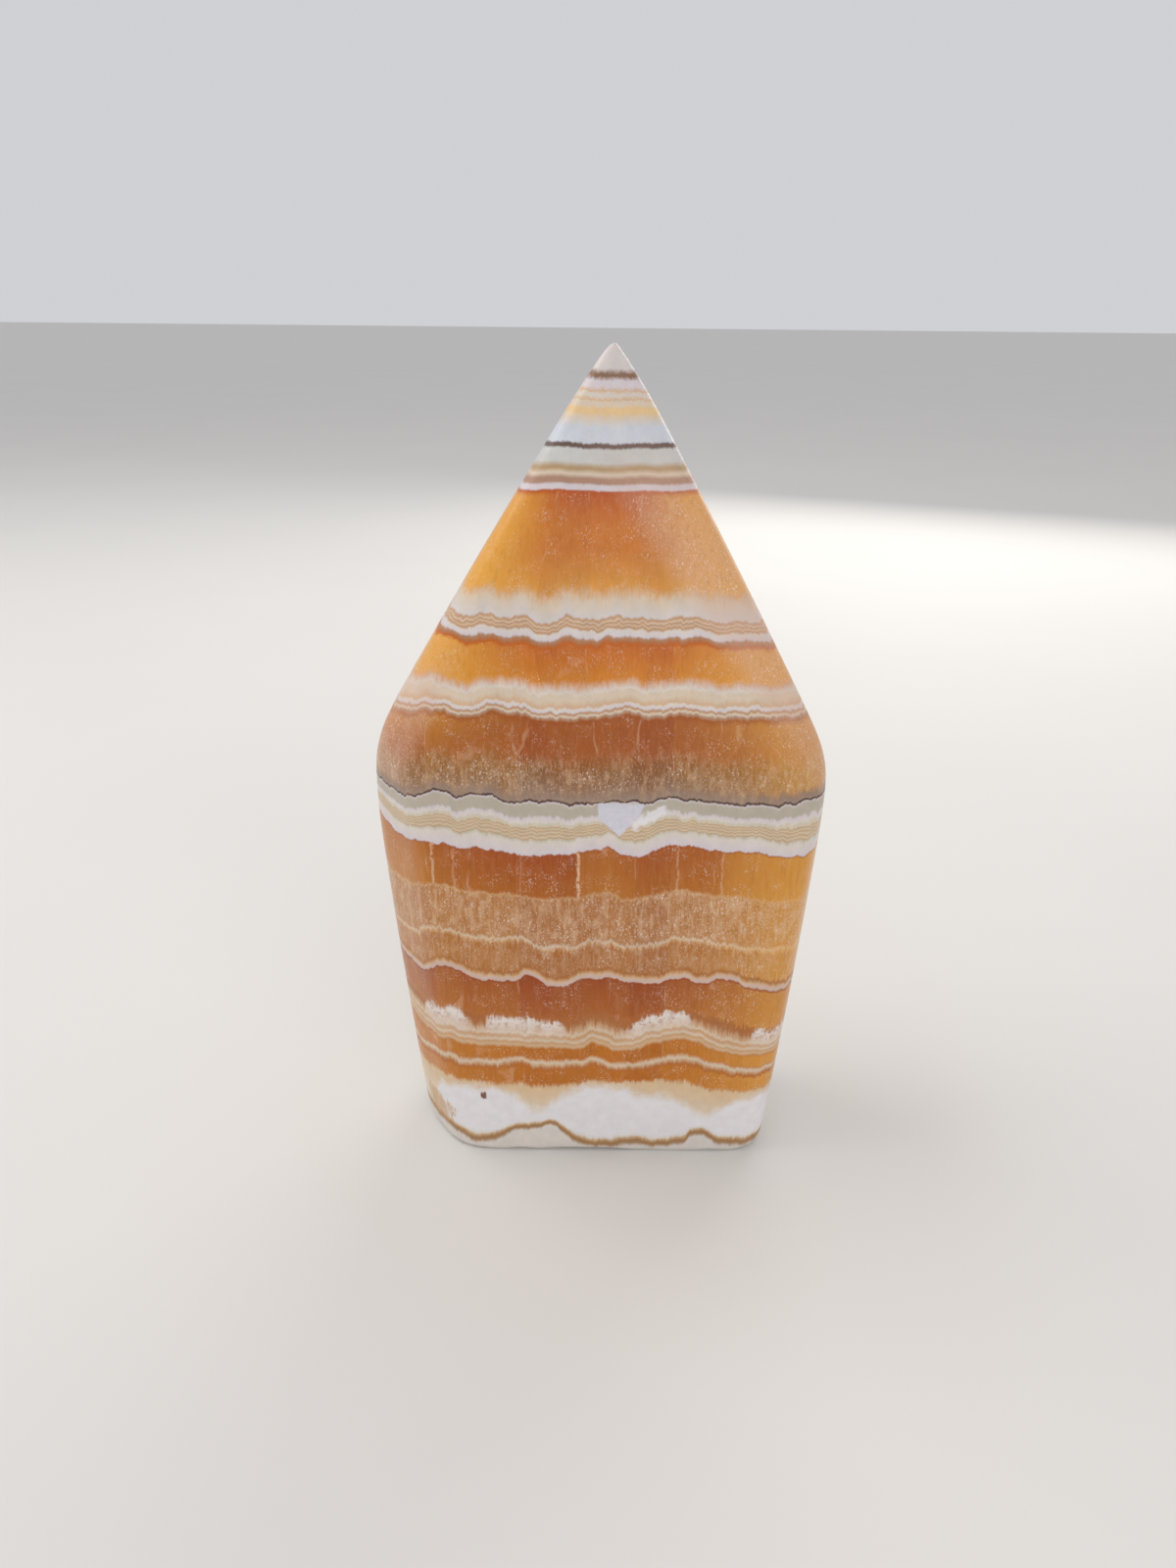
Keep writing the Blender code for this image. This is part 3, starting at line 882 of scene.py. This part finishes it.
def surface_tree():
    """Geometry Nodes that smooth the ground stone, add its polish waves and break its flake off."""
    tree = bpy.data.node_groups.new("polished_surface", "GeometryNodeTree")
    sockets = tree.interface
    sockets.new_socket("Geometry", in_out="INPUT", socket_type="NodeSocketGeometry")
    sockets.new_socket("Levels", in_out="INPUT", socket_type="NodeSocketInt")
    sockets.new_socket("Waviness", in_out="INPUT", socket_type="NodeSocketFloat")
    sockets.new_socket("Chip Depth", in_out="INPUT", socket_type="NodeSocketFloat")
    sockets.new_socket("Finish", in_out="INPUT", socket_type="NodeSocketMaterial")
    sockets.new_socket("Geometry", in_out="OUTPUT", socket_type="NodeSocketGeometry")
    sheet = Sheet(tree)
    given = sheet.put("NodeGroupInput").outputs
    smooth = sheet.put("GeometryNodeSubdivisionSurface")
    sheet.feed(smooth.inputs["Mesh"], given["Geometry"])
    sheet.feed(smooth.inputs["Level"], given["Levels"])

    place = sheet.vector("SCALE", sheet.put("GeometryNodeInputPosition").outputs[0], scale=PER_MM)
    split = sheet.put("ShaderNodeSeparateXYZ")
    sheet.feed(split.inputs[0], place)
    normal = sheet.put("GeometryNodeInputNormal").outputs[0]
    frontness = sheet.math("SUBTRACT", 1.0, sheet.rise(split.outputs["Y"], *FRONT_TO_SIDE))
    lifted = sheet.rise(split.outputs["Z"], *WAVES_START)

    # Slow polish waves, only ever inward, and the sunken chip
    waves = sheet.math("SUBTRACT", sheet.noise(place, POLISH_WAVES, 2.0), 1.0)
    waves = sheet.math("MULTIPLY", sheet.math("MULTIPLY", waves, given["Waviness"]), lifted)
    chip = sheet.math("MULTIPLY", chip_mask(sheet, place, frontness), given["Chip Depth"])
    inward = sheet.vector("SCALE", normal, scale=sheet.math("SUBTRACT", waves, chip))
    polished = sheet.put("GeometryNodeSetPosition")
    sheet.feed(polished.inputs["Geometry"], smooth.outputs[0])
    sheet.feed(polished.inputs["Offset"], inward)

    # The flake flattens what stands outside its break
    way = Vector(FLAKE_FACING).normalized()
    point = Vector(FLAKE_POINT) * MM
    spot = sheet.put("GeometryNodeInputPosition").outputs[0]
    gap = sheet.math("SUBTRACT", sheet.vector("DOT_PRODUCT", spot, tuple(way)), way.dot(point))
    away = sheet.put("ShaderNodeVectorMath", operation="DISTANCE")
    sheet.feed(away.inputs[0], spot)
    sheet.feed(away.inputs[1], tuple(point))
    near = sheet.rise(away.outputs["Value"], FLAKE_REACH, FLAKE_REACH * 0.7)
    push = sheet.math("MULTIPLY", sheet.math("MAXIMUM", gap, 0.0), near)
    broken = sheet.put("GeometryNodeSetPosition")
    sheet.feed(broken.inputs["Geometry"], polished.outputs[0])
    inward = sheet.vector("SCALE", tuple(-way), scale=push)
    sheet.feed(broken.inputs["Offset"], inward)

    real = sheet.put("GeometryNodeRealizeInstances")
    sheet.feed(real.inputs[0], broken.outputs[0])
    coated = sheet.put("GeometryNodeSetMaterial")
    sheet.feed(coated.inputs["Geometry"], real.outputs[0])
    sheet.feed(coated.inputs["Material"], given["Finish"])
    output = sheet.put("NodeGroupOutput")
    sheet.feed(output.inputs[0], coated.outputs[0])
    return tree


def socket_id(tree, name):
    """Identifier of a tree's input by its name."""
    for item in tree.interface.items_tree:
        if item.item_type == "SOCKET" and item.in_out == "INPUT" and item.name == name:
            return item.identifier
    raise KeyError(name)


def ground_stone_mesh():
    """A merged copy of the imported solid's mesh, back in quads."""
    mesh = bmesh.new()
    mesh.from_mesh(bpy.data.objects[STONE_NODE].data)
    bmesh.ops.remove_doubles(mesh, verts=mesh.verts, dist=MERGE_GAP)
    bmesh.ops.join_triangles(mesh, faces=mesh.faces, angle_face_threshold=QUAD_TURN,
                             angle_shape_threshold=QUAD_TURN)
    data = bpy.data.meshes.new("ground_stone")
    mesh.to_mesh(data)
    mesh.free()
    return data


class CALCITE_OT_stone(bpy.types.Operator):
    """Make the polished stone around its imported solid"""

    bl_idname = "calcite.stone"
    bl_label = "Polished stone"

    def execute(self, context):
        settings = context.scene.calcite_stone
        rough = bpy.data.objects.new("ground_stone", ground_stone_mesh())
        context.scene.collection.objects.link(rough)
        tree = surface_tree()
        modifier = rough.modifiers.new("Surface", "NODES")
        modifier.node_group = tree
        modifier[socket_id(tree, "Levels")] = settings.smoothing
        modifier[socket_id(tree, "Waviness")] = settings.waviness
        modifier[socket_id(tree, "Chip Depth")] = settings.chip_depth
        modifier[socket_id(tree, "Finish")] = banded_calcite(settings)
        evaluated = rough.evaluated_get(context.evaluated_depsgraph_get())
        mesh = bpy.data.meshes.new_from_object(evaluated)
        bpy.data.objects.remove(rough, do_unlink=True)
        if not mesh.polygons:
            raise RuntimeError("the polished surface came out empty")
        mesh.shade_smooth()
        stone = bpy.data.objects.new("polished_stone", mesh)
        context.scene.collection.objects.link(stone)
        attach(stone, "root")
        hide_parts(STONE_NODE)
        return {"FINISHED"}


def floor_material(settings):
    """Plain pale floor with the faintest unevenness."""
    material = bpy.data.materials.new("pale_floor")
    material.use_nodes = True
    sheet = Sheet(material.node_tree)
    shader = material.node_tree.nodes["Principled BSDF"]
    place = sheet.put("ShaderNodeTexCoord").outputs["Object"]
    tone = sheet.between(sheet.noise(place, 9.0, 3.0), 0.97, 1.02)
    colour = sheet.vector("SCALE", tuple(settings.floor_colour), scale=tone)
    sheet.feed(shader.inputs["Base Color"], colour)
    shader.inputs["Roughness"].default_value = FLOOR_ROUGHNESS
    return material


def soft_light(context, name, spot, width, power, colour):
    """A square studio light at a spot, aimed at the stone."""
    lamp = bpy.data.lights.new(name, "AREA")
    lamp.shape = "RECTANGLE"
    lamp.size = width
    lamp.size_y = width
    lamp.energy = power
    lamp.color = colour
    light = bpy.data.objects.new(name, lamp)
    light.location = spot
    towards = Vector(LIGHTS_AIM) - Vector(spot)
    light.rotation_euler = towards.to_track_quat("-Z", "Y").to_euler()
    context.scene.collection.objects.link(light)


def photo_camera(context):
    """The camera at the photograph's viewing angle."""
    pitch = math.radians(CAMERA_PITCH)
    roll = math.radians(CAMERA_ROLL)
    forward = Vector((0.0, math.cos(pitch), -math.sin(pitch)))
    level_right = Vector((1.0, 0.0, 0.0))
    level_down = forward.cross(level_right)
    right = level_right * math.cos(roll) + level_down * math.sin(roll)
    up = level_right * math.sin(roll) - level_down * math.cos(roll)
    turn = Matrix((right, up, -forward)).transposed().to_4x4()
    data = bpy.data.cameras.new("photo_camera")
    data.sensor_fit = "VERTICAL"
    data.sensor_height = SENSOR_MM
    data.sensor_width = SENSOR_MM * IMAGE_WIDTH / IMAGE_HEIGHT
    data.lens = SENSOR_MM * FOCAL_PIXELS / IMAGE_HEIGHT
    data.clip_start = NEAREST_SEEN
    camera = bpy.data.objects.new("photo_camera", data)
    camera.matrix_world = Matrix.Translation(CAMERA_SPOT) @ turn
    context.scene.collection.objects.link(camera)
    context.scene.camera = camera


class CALCITE_OT_stage(bpy.types.Operator):
    """Lay the floor and set the soft light and the camera"""

    bl_idname = "calcite.stage"
    bl_label = "Studio stage"

    def execute(self, context):
        settings = context.scene.calcite_stage
        half = settings.floor_width / 2.0
        mesh = bpy.data.meshes.new("pale_floor")
        corners = [(-half, -half, 0.0), (half, -half, 0.0), (half, half, 0.0), (-half, half, 0.0)]
        mesh.from_pydata(corners, [], [(0, 1, 2, 3)])
        mesh.materials.append(floor_material(settings))
        floor = bpy.data.objects.new("pale_floor", mesh)
        context.scene.collection.objects.link(floor)
        world = bpy.data.worlds.new("pale_room")
        world.use_nodes = True
        back = world.node_tree.nodes["Background"]
        back.inputs["Color"].default_value = ROOM_COLOUR
        back.inputs["Strength"].default_value = ROOM_LIGHT
        context.scene.world = world
        for name, spot, width, share, colour in LIGHTS:
            soft_light(context, name, spot, width, settings.key_power * share, colour)
        photo_camera(context)
        context.scene.view_settings.view_transform = "Standard"
        return {"FINISHED"}


class CALCITE_PT_panel(bpy.types.Panel):
    """Sizes, colours and steps of the calcite freeform"""

    bl_idname = "CALCITE_PT_panel"
    bl_label = "Calcite Freeform"
    bl_space_type = "VIEW_3D"
    bl_region_type = "UI"
    bl_category = "Calcite"

    def draw(self, context):
        layout = self.layout
        for group in (context.scene.calcite_stone, context.scene.calcite_stage):
            for name in group.__annotations__:
                layout.prop(group, name)
        layout.operator(CALCITE_OT_stone.bl_idname)
        layout.operator(CALCITE_OT_stage.bl_idname)


CLASSES = (StoneSettings, StageSettings, CALCITE_OT_stone, CALCITE_OT_stage, CALCITE_PT_panel)


def register():
    for item in CLASSES:
        bpy.utils.register_class(item)
    bpy.types.Scene.calcite_stone = bpy.props.PointerProperty(type=StoneSettings)
    bpy.types.Scene.calcite_stage = bpy.props.PointerProperty(type=StageSettings)


def unregister():
    del bpy.types.Scene.calcite_stage
    del bpy.types.Scene.calcite_stone
    for item in reversed(CLASSES):
        bpy.utils.unregister_class(item)


def main():
    register()
    bpy.ops.calcite.stone()
    bpy.ops.calcite.stage()


if __name__ == "__main__":
    main()
